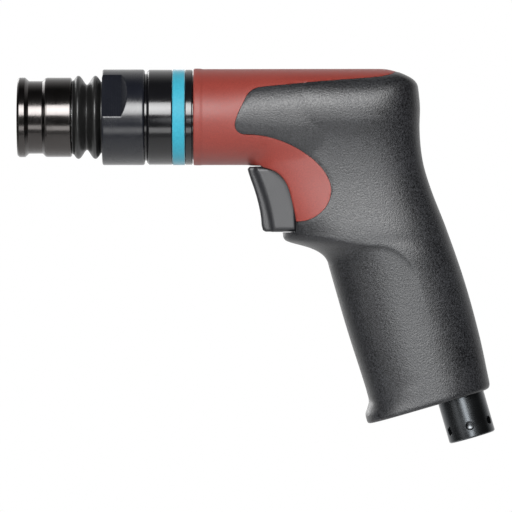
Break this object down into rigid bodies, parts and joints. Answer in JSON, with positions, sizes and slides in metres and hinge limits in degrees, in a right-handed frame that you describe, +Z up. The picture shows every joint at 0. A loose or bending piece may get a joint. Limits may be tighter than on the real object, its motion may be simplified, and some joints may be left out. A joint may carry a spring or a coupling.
{
  "type": "pneumatic air hammer",
  "caption": "Pistol-grip pneumatic air hammer with quick-change tool retainer, bellows, sliding trigger, piston, valve and threaded air inlet.",
  "frame": {"origin": "mouth of the shank bore, where the chisel's collar seats, on the barrel axis", "axes": "+X along the barrel from the nose to the back of the tool, +Z up so the handle hangs towards -Z, Y across the tool and zero on its mid plane"},
  "size_m": [0.191, 0.039, 0.1502],
  "materials": {
    "red_composite": "satin brick red glass-filled polymer with a fine grain",
    "black_elastomer": "charcoal moulded skin with spark-eroded grain",
    "aluminium": "machined",
    "black_steel": "gloss black oxide, turned",
    "cyan_plastic": "satin cyan",
    "blue_black_metal": "satin blue-black, turned, with milled flats",
    "bright_steel": "ground and hardened",
    "burnished_steel": "polished black-oxide steel",
    "spring_steel": "drawn wire",
    "ball_steel": "polished",
    "black_rubber": "satin",
    "trigger_plastic": "semi-gloss dark grey",
    "brass": "machined",
    "felt": "sintered felt"
  },
  "bodies": {
    "body": {"housing": "red_composite", "grip": "black_elastomer", "thread_insert": "aluminium", "barrel": "black_steel", "color_ring": "cyan_plastic", "lock_nut": "black_steel", "front_cap": "blue_black_metal", "tool_holder": "bright_steel", "retainer_spring": "spring_steel", "retainer_balls": "ball_steel", "sleeve_snap_ring": "spring_steel", "bellows": "black_rubber", "valve_seat": "bright_steel", "valve_box": "bright_steel", "valve_dowel": "bright_steel", "rear_buffer": "black_rubber", "barrel_oring": "black_rubber", "trigger_guide_pin": "bright_steel", "throttle_bush": "brass", "throttle_spring": "spring_steel", "stem_oring": "black_rubber", "inlet_bushing": "black_steel", "inlet_screen": "bright_steel", "inlet_oring": "black_rubber", "muffler_core": "felt", "exhaust_cap": "trigger_plastic"},
    "sleeve": {"retainer_sleeve": "burnished_steel"},
    "piston": {"piston": "bright_steel"},
    "shuttle": {"shuttle_valve": "bright_steel"},
    "trigger": {"trigger": "trigger_plastic"},
    "throttle": {"throttle_stem": "bright_steel", "throttle_valve": "black_rubber"}
  },
  "joints": [
    {"name": "sleeve_slide", "type": "slide", "parent": "body", "child": "sleeve", "axis": [1, 0, 0], "range_m": [0, 0.0045], "stiffness_N_per_m": 2500, "springref_m": -0.004, "deforming": ["bellows", "retainer_spring"]},
    {"name": "piston_slide", "type": "slide", "parent": "body", "child": "piston", "axis": [1, 0, 0], "range_m": [0, 0.0374]},
    {"name": "shuttle_slide", "type": "slide", "parent": "body", "child": "shuttle", "axis": [1, 0, 0], "range_m": [0, 0.0016]},
    {"name": "trigger_slide", "type": "slide", "parent": "body", "child": "trigger", "axis": [1, 0, 0], "range_m": [0, 0.0055], "stiffness_N_per_m": 900, "springref_m": -0.004},
    {"name": "throttle_slide", "type": "slide", "parent": "body", "child": "throttle", "axis": [1, 0, 0], "range_m": [0, 0.0055], "deforming": ["throttle_spring"]}
  ],
  "couplings": [
    {"joint": "throttle_slide", "follows": "trigger_slide", "ratio": 1}
  ]
}
